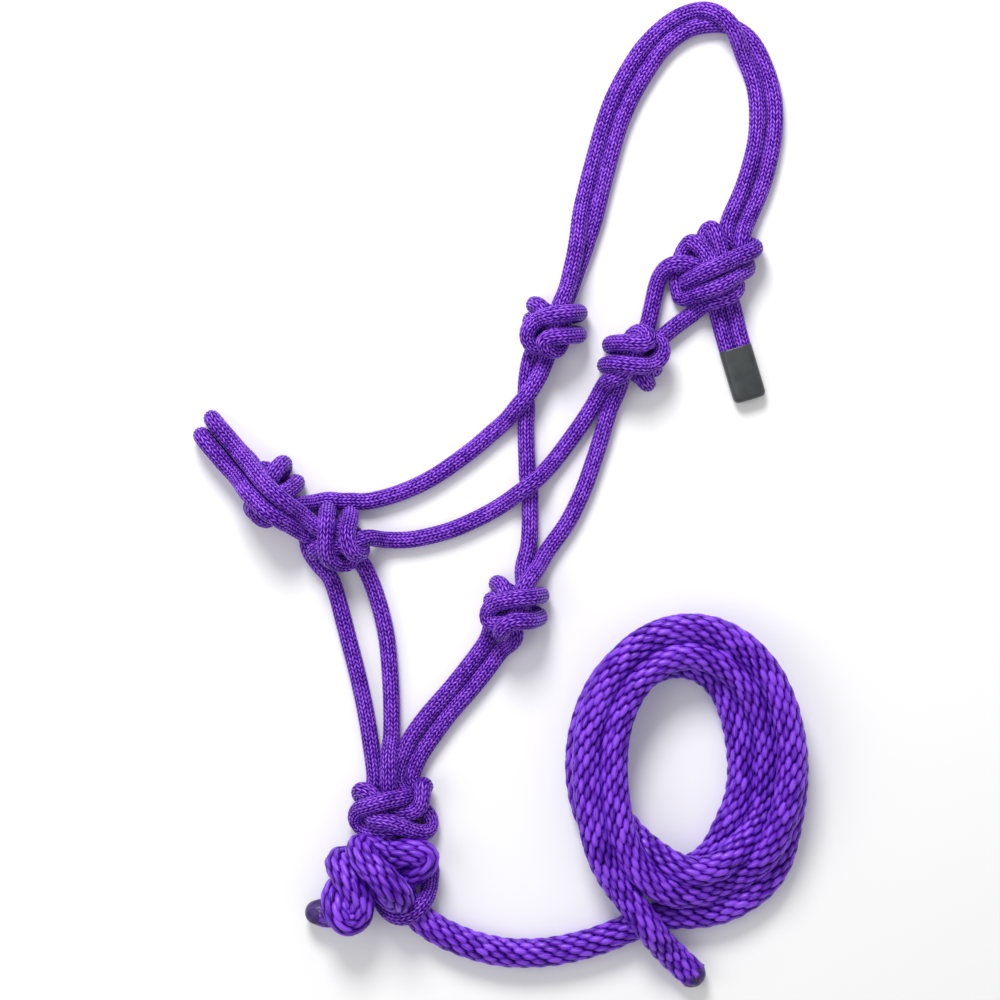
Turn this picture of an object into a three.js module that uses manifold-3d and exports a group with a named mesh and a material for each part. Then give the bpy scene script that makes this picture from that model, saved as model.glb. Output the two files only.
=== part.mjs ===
// Rope halter with its lead rope, laid out flat on its side, near side up.
//
// Millimetres, +Z up, floor at z = 0. +Y runs from the lead knot to the crown, and -X to the nose.
// The origin is under the middle of the halter, without the length of lead that lies beside it.
//
// One length of braided cord is tied into the halter, so a node here is a stretch of that cord
// between two knots, or one knot. Neighbouring nodes meet with a small gap, as separate solids.

import * as THREE from 'three';
import { mergeVertices } from 'three/addons/utils/BufferGeometryUtils.js';
import Module from 'manifold-3d';

// ---- driving dimensions ----

const CORD_RADIUS = 4.75;          // 9.5 mm braided halter cord
const SQUEEZED_RADIUS = 4.2;       // the two tails, side by side where they leave the tie knot
const SLEEVED_RADIUS = 3.75;       // the same tails, squeezed inside their sleeve
const LEAD_RADIUS = 8;             // 16 mm braided lead rope
const GAP = 0.3;                   // between solids that touch
const BEND_GAP = 1.1;              // between a fixed cord and one that bends up where they meet
const CORD_SIDES = 8;
const LEAD_SIDES = 10;
const CORD_STEP = 17;              // longest step along a cord
const FOLD_STEP = 7;               // step where the noseband doubles back on itself
const LEAD_STEP = 24;
const FLOOR = { reach: 500, depth: 60 };     // the block that cuts the knots flat at z = 0

const SLEEVE = { width: 18, thickness: 10.4, length: 31, corner: 5, bevel: 0.8 };
const SLEEVE_TOP = [142, 70.5, 5.2];
const SLEEVE_END = [151, 40.5, 5.2];

// The lead's coil: about four turns, two ropes wide and two high.
const COIL = {
  outer: { x: 115.5, y: -172.5, radiusX: 67.5, radiusY: 88 },
  hole: { x: 111, y: -171, radiusX: 34, radiusY: 54.5 },
  height: 32,
  edge: 7,
};

const LEAD_PIVOT = [-54.5, -248.5, 8.1];     // where the lead leaves its knot
const TAIL_PIVOT = [137, 94, 5.2];           // between the two tails, under the tie knot
const LEAD_SWEEP = { from: -70, to: -24, reach: 60, height: 16.6 };   // degrees from +X, mm
const TAIL_SCOOP = { reach: 10, height: 10 };

// ---- materials ----

const CORD_COLOUR = 0x6931ae;
const LEAD_COLOUR = 0x642fae;
const MELTED_COLOUR = 0x2a1440;
const SLEEVE_COLOUR = 0x4a4e52;

const cordMaterial = () => new THREE.MeshStandardMaterial({ color: CORD_COLOUR, roughness: 0.5, metalness: 0 });
const leadMaterial = () => new THREE.MeshStandardMaterial({ color: LEAD_COLOUR, roughness: 0.45, metalness: 0 });
const meltedMaterial = () => new THREE.MeshStandardMaterial({ color: MELTED_COLOUR, roughness: 0.35, metalness: 0 });
const sleeveMaterial = () => new THREE.MeshStandardMaterial({ color: SLEEVE_COLOUR, roughness: 0.45, metalness: 0 });

// ---- routes: the centre lines of the cords, [x, y, z] ----

const ROUTES = {
  // crown: two cords over the poll; the outer one crosses over near the top
  crownCordOuter: [
    [44, 100, 15.9], [46.5, 109, 16], [50.5, 125, 15.2], [54, 143, 13.9], [57.5, 161.5, 12.3],
    [61, 178.5, 10.6], [65.5, 196, 9.2], [71, 213, 9], [80, 230.5, 8.8], [90.5, 246, 8.6],
    [103.5, 257.5, 10], [116, 264, 12.8], [127.5, 264, 14.9], [138, 258, 15.2],
    [145.5, 246.5, 14.4], [151, 232.5, 12.4], [154.5, 219, 9.4], [155.5, 204.5, 7.4],
    [154.5, 190, 7.5], [151, 175.5, 9], [146.5, 161.5, 11.4], [141, 147, 14], [136, 137, 16],
  ],
  crownCordInner: [
    [46, 99.5, 6], [48.5, 109, 6], [54, 125, 5], [59, 143, 4.8], [64, 161.5, 4.8],
    [69.5, 178.5, 4.8], [74.5, 196, 4.8], [81.5, 213, 4.8], [90.5, 229, 4.8], [103.5, 245, 4.8],
    [116, 253, 4.8], [128.5, 255, 4.8], [141, 253.5, 4.8], [151, 246, 4.8], [158.5, 235, 4.8],
    [163.5, 222.5, 4.8], [165.5, 208.5, 4.8], [165, 193, 4.8], [162, 177.5, 5],
    [157.5, 161.5, 6.5], [151, 147, 9], [146, 135.5, 10.5],
  ],
  // the eye that the crown is tied to, above the near cheek knot
  tieCordLeft: [
    [92, 82, 8], [93.5, 90.5, 7.4], [95.5, 99, 7], [98, 110.5, 7], [103.5, 117, 8],
    [111.5, 119.5, 10], [119, 117, 11.5], [124.5, 112.5, 12],
  ],
  tieCordRight: [
    [102, 78, 7], [108, 83.5, 6], [115.5, 88.5, 6], [122, 93.5, 7], [126.5, 99.5, 8.5],
  ],
  crownTailLeftFree: [[132, 93, 5.2], [134, 82, 4.9], [137.5, 70.5, 5]],
  crownTailRightFree: [[141.5, 95.5, 5.2], [143.5, 84, 4.9], [146, 73, 5]],
  crownTailLeftHeld: [[137, 72.5, 5.2], [138, 69.5, 5.2], [146, 44.5, 5.2]],
  crownTailRightHeld: [[145, 74.5, 5.2], [146, 72, 5.2], [153.5, 47, 5.2]],
  // cheeks and throat
  offCheekCord: [
    [36.5, 73.5, 14], [33.5, 67, 14.5], [29.5, 57.5, 14.8], [25.5, 48.5, 15], [20, 39.5, 14.6],
    [12.5, 30.5, 12], [3, 22.5, 8], [-6.5, 14, 5.2], [-17, 6, 4.8], [-32.5, -4.5, 4.8],
    [-48, -12, 4.8], [-66, -17.5, 4.8], [-85.5, -20, 4.8], [-101.5, -19, 5.5], [-113, -14, 7],
  ],
  offThroatCord: [
    [27, 73.5, 8], [25.5, 67, 6.5], [24, 59, 5], [22, 47, 4.8], [21, 35.5, 4.8], [21.5, 23, 4.8],
    [22, 6, 4.8], [23.5, -11.5, 4.8], [24, -29, 4.8], [23, -46, 4.8], [19.5, -59, 5.5],
    [16.5, -68, 7],
  ],
  nearCheekCord: [
    [74, 63.5, 15.5], [70, 54.5, 15.2], [65.5, 45.5, 14], [59.5, 35.5, 12], [52.5, 25, 9],
    [44.5, 14, 8.2], [36.5, 3.5, 11], [28.5, -4.5, 14.4], [21, -11, 15], [11, -18, 13],
    [1.5, -24, 9], [-9.5, -29.5, 5.8], [-21, -34.5, 4.8], [-33.5, -38, 5.5], [-46.5, -40.5, 8.5],
    [-58, -40.5, 13], [-67, -39, 16.5], [-74, -38, 18],
  ],
  nearThroatCord: [
    [81, 59, 6.5], [77, 50.5, 5.2], [71.5, 40.5, 4.8], [67.5, 27, 4.8], [64, 15, 4.8],
    [60, 3, 4.8], [55.5, -10, 4.8], [51, -20, 4.8], [46, -30, 4.8], [40, -38.5, 5.5],
    [33.5, -47, 8], [28.5, -56, 11], [24, -64.5, 13],
  ],
  // jaw and chin
  jawCordLeft: [
    [10, -83.5, 8], [5, -91, 6], [-0.5, -98, 4.8], [-6, -106, 4.8], [-13, -115, 4.8],
    [-20.5, -124.5, 4.8], [-28, -133, 4.8], [-35.5, -141.5, 4.8], [-42.5, -151, 4.8],
    [-48.5, -160, 4.8], [-52.5, -169.5, 4.8], [-54.5, -178.5, 5.2], [-55, -187, 6],
  ],
  jawCordRight: [
    [18, -83.5, 14], [15.5, -91.5, 12.5], [10.5, -99, 9.4], [5.5, -106.5, 6.6], [-0.5, -115, 5],
    [-8, -124.5, 5], [-15.5, -133, 5], [-23, -141.5, 5.2], [-29.5, -150.5, 6.4],
    [-36, -159.5, 9.6], [-42, -169, 12.8], [-45, -177, 14.4], [-46.5, -187, 14.4],
  ],
  nearChinCord: [
    [-76.5, -47, 18], [-73, -53.5, 15], [-69, -61.5, 10.5], [-65, -72, 6], [-62, -82, 4.8],
    [-59, -95.5, 4.8], [-57.5, -109.5, 4.8], [-56.5, -124, 4.8], [-56, -138, 6], [-56, -151.5, 10],
    [-56, -161.5, 13.8], [-56.5, -171.5, 15], [-56.5, -182, 15.5], [-56.5, -190, 15.5],
  ],
  offChinCord: [
    [-116.5, -18.5, 6], [-111, -26.5, 5], [-105, -34.5, 4.8], [-100, -44, 4.8], [-95.5, -53, 4.8],
    [-90.5, -63.5, 4.8], [-85.5, -80.5, 4.8], [-81, -98, 4.8], [-76.5, -115, 4.8],
    [-72.5, -132.5, 4.8], [-69.5, -148.5, 5], [-67.5, -162.5, 6.5], [-66, -173, 8],
    [-65.5, -182, 8.5], [-65, -190, 9],
  ],
  // noseband: two cords side by side, folded flat, so that each doubles back under itself
  nosebandRootUpper: [
    [-90, -36.5, 26], [-97, -33.5, 28.5], [-104, -29, 30], [-111, -23.5, 30.4], [-118, -17.5, 30],
    [-125.5, -10, 28.4], [-131.5, -3, 26], [-137, 3.5, 24],
  ],
  nosebandRootLower: [
    [-93.5, -45, 20], [-100.5, -41, 22], [-107, -35.5, 23.6], [-114, -30.5, 24.3],
    [-121, -26, 24.3], [-129.5, -20, 24], [-137.5, -12, 23], [-145, -3.5, 21.2],
  ],
  nosebandCordUpper: [
    [-137, 3.5, 24], [-141, 8, 22.4], [-145.5, 13, 21], [-152.5, 21.5, 19.3], [-157.5, 27, 18.4],
    [-161.5, 32.5, 16], [-163, 34, 11.6], [-161.5, 32.5, 7.2], [-157.5, 27, 4.8],
    [-152.5, 21.5, 4.8], [-145.5, 13, 4.8], [-141, 8, 4.8], [-137, 3.5, 5],
  ],
  nosebandCordLower: [
    [-145, -3.5, 21.2], [-148.5, 0, 20.4], [-152, 3.5, 19.8], [-158.5, 11.5, 18.8],
    [-164, 18, 18.2], [-167.5, 22.5, 16], [-169, 24, 11.6], [-167.5, 22.5, 7.2], [-164, 18, 4.8],
    [-158.5, 11.5, 4.8], [-152, 3.5, 4.8], [-148.5, 0, 4.8], [-145, -3.5, 5],
  ],
  // the loop of halter cord that the lead is tied to
  fiadorLoop: [
    [-37, -216, 12], [-35, -224.5, 13.5], [-34, -235, 17.5], [-36, -246, 21.5], [-42.5, -254, 22.2],
    [-51, -256.5, 22.2], [-59, -252.5, 21], [-65, -245.5, 18],
  ],
  // lead rope outside its coil
  leadRun: [
    [-54.5, -248.5, 8.1], [-44, -257.5, 8.1], [-36, -262.5, 8.1], [-28, -267.5, 8.1],
    [-16.5, -272.5, 8.1], [-5, -276.5, 8.1], [6.5, -279, 8.1], [18, -280, 8.1],
    [29.5, -279.5, 8.1], [41, -277.5, 8.1], [52.5, -275.5, 8.1], [64, -272, 8.1],
    [74.5, -268, 8.1], [85, -263, 8.1], [96, -257.5, 8.1], [105.5, -251, 8.1],
  ],
  leadTail: [
    [68.5, -224.5, 24.8], [74, -234.5, 24.8], [80.5, -243.5, 24.8], [88, -255.5, 24.8],
    [96, -268.5, 24.2], [104, -278.5, 18.5], [112.5, -286.5, 11], [120, -292.5, 8.1],
  ],
};

const LEAD_TIP = [122.5, -294.5, 8.1];
const LEAD_STUB = { from: [-86, -254.5, 9], to: [-97, -255, 7.5], radius: 6.5 };

// ---- knots: a core, and the turns of cord that stand out of it, each [from, to, radius] ----

const KNOTS = {
  off_cheek_knot: {
    core: { at: [37.5, 85, 12], radii: [13, 11.5, 13.2] },
    turns: [
      [[30, 94, 15], [33, 92.5, 16], 4.75], [[25, 85, 19.5], [51, 89.5, 20], 4.75],
      [[32.5, 75, 19], [50.5, 75.5, 18.5], 4.75], [[23.5, 85, 14], [24.5, 76.5, 14], 4.75],
    ],
  },
  near_cheek_knot: {
    core: { at: [85.5, 64.5, 12], radii: [14, 11, 13.2] },
    turns: [
      [[75.5, 76, 17], [89, 75.5, 16], 5.2], [[70, 63.5, 19.5], [96.5, 59.5, 19], 5.2],
      [[81.5, 50, 15], [91.5, 50.5, 15], 4.75], [[93, 64.5, 9], [99.5, 74.5, 8], 4.75],
    ],
  },
  throat_knot: {
    core: { at: [14, -78, 12], radii: [14, 12.5, 13.2] },
    turns: [
      [[6.5, -66, 16], [11, -67, 17], 4.75], [[-0.5, -76, 19], [29.5, -76.5, 20], 4.75],
      [[5.5, -84.5, 19], [26, -86.5, 19], 4.75], [[15.5, -93.5, 14], [21.5, -92.5, 14], 4.75],
    ],
  },
  near_nose_knot: {
    core: { at: [-82.5, -37.5, 12], radii: [14.5, 15, 13.2] },
    turns: [
      [[-84, -24, 21], [-88, -52.5, 20], 4.75], [[-74, -25, 20], [-74.5, -48, 19], 4.75],
      [[-101, -44.5, 12], [-91.5, -45, 14], 4.75],
    ],
  },
  off_nose_knot: {
    core: { at: [-122, -11, 9.5], radii: [11, 11.5, 9.4] },
    turns: [
      [[-122.5, -3, 11], [-113, -8, 11], 5.2], [[-131, -22, 7], [-128, -19.5, 8], 5.6],
      [[-130.5, -3.5, 6.5], [-126, -7.5, 8], 4.75], [[-139, -10, 6.5], [-130.5, -15, 7], 4.75],
    ],
  },
  fiador_knot: {
    core: { at: [-54.5, -199.5, 12], radii: [17, 14, 13.2] },
    turns: [
      [[-73, -186, 15], [-69, -188, 16], 4.75], [[-70, -194.5, 20], [-46.5, -189.5, 20.5], 4.75],
      [[-40, -189.5, 16], [-37.5, -201.5, 15], 5.2], [[-73, -197, 15], [-70, -205, 15], 5],
      [[-59, -198.5, 20.5], [-42, -209, 20], 4.75],
    ],
  },
  crown_tie_knot: {
    core: { at: [131, 117.5, 12], radii: [14, 15, 13.2] },
    turns: [
      [[130, 137.5, 17], [134.5, 120, 19], 5], [[119.5, 129, 16], [127, 115, 18], 5],
      [[115, 109.5, 20], [151, 126.5, 20], 4.75], [[115, 99.5, 18], [147, 112.5, 18], 4.75],
      [[147, 132.5, 14], [150.5, 120, 14], 4.75],
    ],
  },
  lead_knot: {
    core: { at: [-60, -234, 15], radii: [16, 15, 14.8] },
    turns: [
      [[-71.5, -222.5, 24], [-48.5, -241, 26], 8], [[-50, -222.5, 20], [-36, -219.5, 19], 8],
      [[-84, -230, 20], [-70.5, -246.5, 20], 8], [[-80, -237.5, 8.4], [-52, -231.5, 8.4], 8],
      [[-81.5, -255.5, 14], [-81, -255.5, 14], 13.6],
    ],
  },
};

// ---- solids ----

const wasm = await Module();
wasm.setup();

const vector = (point) => new THREE.Vector3(...point);

function solidOf(geometry) {
  const bare = geometry.clone();
  bare.deleteAttribute('normal');
  bare.deleteAttribute('uv');
  const merged = mergeVertices(bare, 1e-4);
  return new wasm.Manifold(new wasm.Mesh({
    numProp: 3,
    vertProperties: new Float32Array(merged.attributes.position.array),
    triVerts: new Uint32Array(merged.index.array),
  }));
}

function geometryOf(solid) {
  const mesh = solid.getMesh();
  const geometry = new THREE.BufferGeometry();
  geometry.setAttribute('position', new THREE.BufferAttribute(mesh.vertProperties, 3));
  geometry.setIndex(new THREE.BufferAttribute(mesh.triVerts, 1));
  geometry.computeVertexNormals();
  return geometry;
}

const union = (solids) => solids.reduce((whole, solid) => whole.add(solid));

// Cuts the others away from a solid and keeps its largest piece.
function cutBy(solid, others) {
  const cut = others.reduce((rest, other) => rest.subtract(other), solid);
  const pieces = cut.decompose();
  return pieces.reduce((largest, piece) => (piece.volume() > largest.volume() ? piece : largest));
}

// A tube along a route. Growing it makes the cutter that leaves the gap around it.
function tube(route, radius, step, grow = 0, sides = CORD_SIDES) {
  const curve = new THREE.CatmullRomCurve3(route.map(vector), false, 'centripetal');
  const section = new THREE.Shape();
  for (let side = 0; side < sides; side += 1) {
    const angle = (side / sides) * 2 * Math.PI;
    const corner = new THREE.Vector2(Math.cos(angle), Math.sin(angle)).multiplyScalar(radius + grow);
    if (side === 0) {
      section.moveTo(corner.x, corner.y);
    } else {
      section.lineTo(corner.x, corner.y);
    }
  }
  section.closePath();
  const steps = Math.ceil(curve.getLength() / step);
  return solidOf(new THREE.ExtrudeGeometry(section, { steps, extrudePath: curve, bevelEnabled: false }));
}

function ball(centre, radius) {
  const geometry = new THREE.IcosahedronGeometry(radius, 1);
  geometry.translate(...centre);
  return solidOf(geometry);
}

// A short straight turn of cord with round ends.
function turn(from, to, radius) {
  const start = vector(from);
  const along = vector(to).sub(start);
  const geometry = new THREE.CapsuleGeometry(radius, along.length(), 2, CORD_SIDES);
  const direction = along.clone().normalize();
  geometry.applyQuaternion(new THREE.Quaternion().setFromUnitVectors(new THREE.Vector3(0, 1, 0), direction));
  const middle = start.addScaledVector(along, 0.5);
  geometry.translate(middle.x, middle.y, middle.z);
  return solidOf(geometry);
}

function block(low, high) {
  const size = high.map((value, axis) => value - low[axis]);
  const geometry = new THREE.BoxGeometry(...size);
  geometry.translate(...low.map((value, axis) => value + size[axis] / 2));
  return solidOf(geometry);
}

const floor = block([-FLOOR.reach, -FLOOR.reach, -FLOOR.depth], [FLOOR.reach, FLOOR.reach, 0]);

// A knot, pressed flat where it lies on the floor.
function knot({ core, turns }, grow = 0) {
  const centre = new THREE.IcosahedronGeometry(1, 2);
  centre.scale(...core.radii.map((radius) => radius + grow));
  centre.translate(...core.at);
  const parts = turns.map(([from, to, radius]) => turn(from, to, radius + grow));
  const whole = union([solidOf(centre), ...parts]);
  return grow > 0 ? whole : whole.subtract(floor);
}

// The stretch of cord past a hinge starts with a round end on the hinge's own line.
const hinged = (route, ends, step, grow = 0) => union([
  tube(route, CORD_RADIUS, step, grow),
  ...ends.map((end) => ball(end, CORD_RADIUS + grow)),
]);

// The room that the lead takes up next to its knot as it swings from side to side.
function leadSweep() {
  const fan = new THREE.Shape();
  fan.moveTo(0, 0);
  const start = THREE.MathUtils.degToRad(LEAD_SWEEP.from);
  const end = THREE.MathUtils.degToRad(LEAD_SWEEP.to);
  fan.absarc(0, 0, LEAD_SWEEP.reach, start, end, false);
  fan.closePath();
  const depth = LEAD_SWEEP.height;
  const geometry = new THREE.ExtrudeGeometry(fan, { depth, bevelEnabled: false, curveSegments: 6 });
  geometry.translate(LEAD_PIVOT[0], LEAD_PIVOT[1], 0);
  const round = new THREE.CylinderGeometry(LEAD_RADIUS + GAP, LEAD_RADIUS + GAP, depth, 20);
  round.rotateX(Math.PI / 2);
  round.translate(LEAD_PIVOT[0], LEAD_PIVOT[1], depth / 2);
  return [solidOf(geometry), solidOf(round)];
}

// The scoop under the tie knot that the two tails turn in.
function tailScoop() {
  const { reach, height } = TAIL_SCOOP;
  const geometry = new THREE.CylinderGeometry(reach, reach, height, 24);
  geometry.rotateX(Math.PI / 2);
  geometry.translate(TAIL_PIVOT[0], TAIL_PIVOT[1], height / 2);
  return solidOf(geometry);
}

// The flat sleeve over the ends of the two tails, closed at its far end.
function sleeve() {
  const { width, thickness, length, corner, bevel } = SLEEVE;
  const halfWidth = width / 2 - bevel;
  const halfThickness = thickness / 2 - bevel;
  const round = corner - bevel;
  const outline = new THREE.Shape();
  outline.moveTo(-halfWidth + round, -halfThickness);
  outline.lineTo(halfWidth - round, -halfThickness);
  outline.absarc(halfWidth - round, -halfThickness + round, round, -Math.PI / 2, 0, false);
  outline.absarc(halfWidth - round, halfThickness - round, round, 0, Math.PI / 2, false);
  outline.lineTo(-halfWidth + round, halfThickness);
  outline.absarc(-halfWidth + round, halfThickness - round, round, Math.PI / 2, Math.PI, false);
  outline.absarc(-halfWidth + round, -halfThickness + round, round, Math.PI, 1.5 * Math.PI, false);
  const geometry = new THREE.ExtrudeGeometry(outline, {
    depth: length - 2 * bevel,
    bevelEnabled: true,
    bevelThickness: bevel,
    bevelSize: bevel,
    bevelSegments: 2,
    curveSegments: 4,
  });
  geometry.translate(0, 0, bevel);
  const along = vector(SLEEVE_END).sub(vector(SLEEVE_TOP)).normalize();
  const up = new THREE.Vector3(0, 0, 1);
  const across = new THREE.Vector3().crossVectors(up, along);
  geometry.applyMatrix4(new THREE.Matrix4().makeBasis(across, up, along));
  geometry.translate(...SLEEVE_TOP);
  return solidOf(geometry);
}

// A tail of the crown: free below the tie knot, then squeezed inside the sleeve.
const tail = (free, held, grow = 0) => union([
  tube(free, SQUEEZED_RADIUS, CORD_STEP, grow),
  ball(free[0], SQUEEZED_RADIUS + grow),
  tube(held, SLEEVED_RADIUS, CORD_STEP, grow),
]);

function coil(grow = 0) {
  const { outer, hole, height, edge } = COIL;
  const inset = edge - grow;
  const ring = new THREE.Shape();
  ring.absellipse(outer.x, outer.y, outer.radiusX - inset, outer.radiusY - inset, 0, 2 * Math.PI);
  const opening = new THREE.Path();
  opening.absellipse(hole.x, hole.y, hole.radiusX + inset, hole.radiusY + inset, 0, 2 * Math.PI);
  ring.holes.push(opening);
  const geometry = new THREE.ExtrudeGeometry(ring, {
    depth: height - 2 * edge,
    bevelEnabled: true,
    bevelThickness: edge,
    bevelSize: edge,
    bevelSegments: 2,
    curveSegments: 18,
  });
  geometry.translate(0, 0, edge);
  return solidOf(geometry);
}

// ---- assembly ----

const group = new THREE.Group();
group.name = 'rope_halter';

function place(name, solid, material) {
  const mesh = new THREE.Mesh(geometryOf(solid), material);
  mesh.name = name;
  group.add(mesh);
}

const first = (route) => route[0];
const last = (route) => route[route.length - 1];

// Stretches of cord that start on a hinge, and what has to keep clear of them.
const HINGED = {
  crown_cord_outer: { route: ROUTES.crownCordOuter, ends: [first], step: CORD_STEP },
  crown_cord_inner: { route: ROUTES.crownCordInner, ends: [first], step: CORD_STEP },
  tie_cord_left: { route: ROUTES.tieCordLeft, ends: [first], step: CORD_STEP },
  tie_cord_right: { route: ROUTES.tieCordRight, ends: [first], step: CORD_STEP },
  noseband_cord_upper: { route: ROUTES.nosebandCordUpper, ends: [first, last], step: FOLD_STEP },
  noseband_cord_lower: { route: ROUTES.nosebandCordLower, ends: [first, last], step: FOLD_STEP },
};

const hingedSolid = ({ route, ends, step }, grow = 0) => (
  hinged(route, ends.map((end) => end(route)), step, grow)
);

// Stretches of cord that stay with the halter, in the order in which they lie on each other.
const FIXED = {
  off_cheek_cord: ROUTES.offCheekCord,
  off_throat_cord: ROUTES.offThroatCord,
  off_chin_cord: ROUTES.offChinCord,
  jaw_cord_left: ROUTES.jawCordLeft,
  jaw_cord_right: ROUTES.jawCordRight,
  near_chin_cord: ROUTES.nearChinCord,
  near_throat_cord: ROUTES.nearThroatCord,
  near_cheek_cord: ROUTES.nearCheekCord,
  noseband_root_lower: ROUTES.nosebandRootLower,
  noseband_root_upper: ROUTES.nosebandRootUpper,
  fiador_loop: ROUTES.fiadorLoop,
};

// Cords that a knot is pressed down on keep their round section, and the knot is dented.
const DENTS = {
  near_nose_knot: [ROUTES.offCheekCord, ROUTES.offChinCord],
  off_nose_knot: [ROUTES.nosebandRootUpper, ROUTES.nosebandRootLower],
};

function addKnots() {
  const balls = Object.values(HINGED).flatMap(({ route, ends }) => (
    ends.map((end) => ball(end(route), CORD_RADIUS + GAP))
  ));
  const clearances = {
    off_cheek_knot: balls,
    near_cheek_knot: balls,
    off_nose_knot: balls,
    crown_tie_knot: [tailScoop()],
    lead_knot: leadSweep(),
  };
  const placed = [];
  for (const [name, shape] of Object.entries(KNOTS)) {
    const dents = (DENTS[name] ?? []).map((route) => tube(route, CORD_RADIUS, CORD_STEP, GAP));
    const solid = cutBy(knot(shape), [...placed, ...dents, ...(clearances[name] ?? [])]);
    const isLead = name === 'lead_knot';
    place(name, solid, isLead ? leadMaterial() : cordMaterial());
    placed.push(knot(shape, GAP));
  }
  return placed;
}

function addCords(knots) {
  const crownKnot = knot(KNOTS.crown_tie_knot, GAP);
  const moving = [];
  for (const [name, stretch] of Object.entries(HINGED)) {
    place(name, cutBy(hingedSolid(stretch), [crownKnot, tailScoop(), ...moving]), cordMaterial());
    moving.push(hingedSolid(stretch, GAP));
  }
  const bends = [ROUTES.nosebandCordUpper, ROUTES.nosebandCordLower].map((route) => (
    ball(first(route), CORD_RADIUS + BEND_GAP)
  ));
  const resting = [];
  for (const [name, route] of Object.entries(FIXED)) {
    const inTheWay = [...knots, ...moving, ...bends, ...resting];
    place(name, cutBy(tube(route, CORD_RADIUS, CORD_STEP), inTheWay), cordMaterial());
    resting.push(tube(route, CORD_RADIUS, CORD_STEP, GAP));
  }
}

function addTails() {
  const left = [ROUTES.crownTailLeftFree, ROUTES.crownTailLeftHeld];
  const right = [ROUTES.crownTailRightFree, ROUTES.crownTailRightHeld];
  place('crown_tail_left', tail(...left), cordMaterial());
  place('crown_tail_right', cutBy(tail(...right), [tail(...left, GAP)]), cordMaterial());
  place('tail_sleeve', cutBy(sleeve(), [tail(...left, GAP), tail(...right, GAP)]), sleeveMaterial());
}

function addLead() {
  const leadTube = (route, grow = 0) => tube(route, LEAD_RADIUS, LEAD_STEP, grow, LEAD_SIDES);
  const wound = coil(GAP);
  const run = union([leadTube(ROUTES.leadRun), ball(first(ROUTES.leadRun), LEAD_RADIUS)]);
  const overRun = [wound, leadTube(ROUTES.leadRun, GAP)];
  place('lead_coil', coil(), leadMaterial());
  place('lead_run', cutBy(run, [wound]), leadMaterial());
  place('lead_tail', cutBy(leadTube(ROUTES.leadTail), overRun), leadMaterial());
  place('lead_tip', cutBy(ball(LEAD_TIP, LEAD_RADIUS), [leadTube(ROUTES.leadTail, GAP)]), meltedMaterial());
  const stub = turn(LEAD_STUB.from, LEAD_STUB.to, LEAD_STUB.radius);
  place('lead_stub_end', cutBy(stub, [knot(KNOTS.lead_knot, GAP)]), meltedMaterial());
}

addCords(addKnots());
addTails();
addLead();

export default group;
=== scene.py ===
"""Looks of a knotted rope halter with its lead rope, laid flat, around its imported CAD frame.

Metres, +Z up, floor at z = 0. +Y runs from the lead knot to the crown, and -X to the nose.
Every cord is a chain of points: its drawn route first settles on the floor and on the other
cords, and is then covered with a braid whose stitches are real relief.
"""

import math

import bpy
import numpy as np
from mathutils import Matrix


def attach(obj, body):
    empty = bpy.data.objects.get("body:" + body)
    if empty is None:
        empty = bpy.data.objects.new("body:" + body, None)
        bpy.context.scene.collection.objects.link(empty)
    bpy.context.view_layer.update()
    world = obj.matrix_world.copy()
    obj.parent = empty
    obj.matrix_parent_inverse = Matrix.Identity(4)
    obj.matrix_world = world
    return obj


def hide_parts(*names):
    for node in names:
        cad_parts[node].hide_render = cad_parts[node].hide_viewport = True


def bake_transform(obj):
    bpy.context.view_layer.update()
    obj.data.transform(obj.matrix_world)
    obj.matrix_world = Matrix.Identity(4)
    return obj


CORD_DIAMETER = 0.0095
LEAD_DIAMETER = 0.016
CORD_SPACING = 0.002            # between the points of a chain, on the halter's cord
LEAD_SPACING = 0.003            # and on the lead

# The halter's cord is a twill braid: strands each way round, the length of one turn of a strand,
# the height of its stitches, and the mesh around and along it.
CORD_BRAID = {"strands": 16, "turn": 0.042, "relief": 0.00062, "sides": 80, "step": 0.00055}
# The lead is a solid braid: columns of plump stitches that all lean the same way, by an angle in
# radians. Each stitch is a share of a stitch further along than the one in the column before.
LEAD_BRAID = {
    "columns": 14, "stitch": 0.0090, "stagger": 8 / 14, "half_length": 0.0050,
    "half_width": 0.0022, "lean": 0.22, "relief": 0.0018, "sides": 70, "step": 0.00126,
}

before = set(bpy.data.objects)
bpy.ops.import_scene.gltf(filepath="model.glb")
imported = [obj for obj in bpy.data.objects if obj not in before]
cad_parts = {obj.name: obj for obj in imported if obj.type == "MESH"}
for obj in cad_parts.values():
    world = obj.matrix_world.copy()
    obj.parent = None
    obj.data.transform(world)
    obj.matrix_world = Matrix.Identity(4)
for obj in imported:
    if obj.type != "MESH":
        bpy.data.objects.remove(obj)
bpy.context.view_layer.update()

# ---- drawn routes ----

# Crown: two cords over the poll; the outer one crosses over near the top.
CROWN_CORD_OUTER = [
    (0.0440, 0.1000, 0.0159), (0.0465, 0.1090, 0.0160), (0.0505, 0.1250, 0.0152),
    (0.0540, 0.1430, 0.0139), (0.0575, 0.1615, 0.0123), (0.0610, 0.1785, 0.0106),
    (0.0655, 0.1960, 0.0092), (0.0710, 0.2130, 0.0090), (0.0800, 0.2305, 0.0088),
    (0.0905, 0.2460, 0.0086), (0.1035, 0.2575, 0.0100), (0.1160, 0.2640, 0.0128),
    (0.1275, 0.2640, 0.0149), (0.1380, 0.2580, 0.0152), (0.1455, 0.2465, 0.0144),
    (0.1510, 0.2325, 0.0124), (0.1545, 0.2190, 0.0094), (0.1555, 0.2045, 0.0074),
    (0.1545, 0.1900, 0.0075), (0.1510, 0.1755, 0.0090), (0.1465, 0.1615, 0.0114),
]
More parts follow.
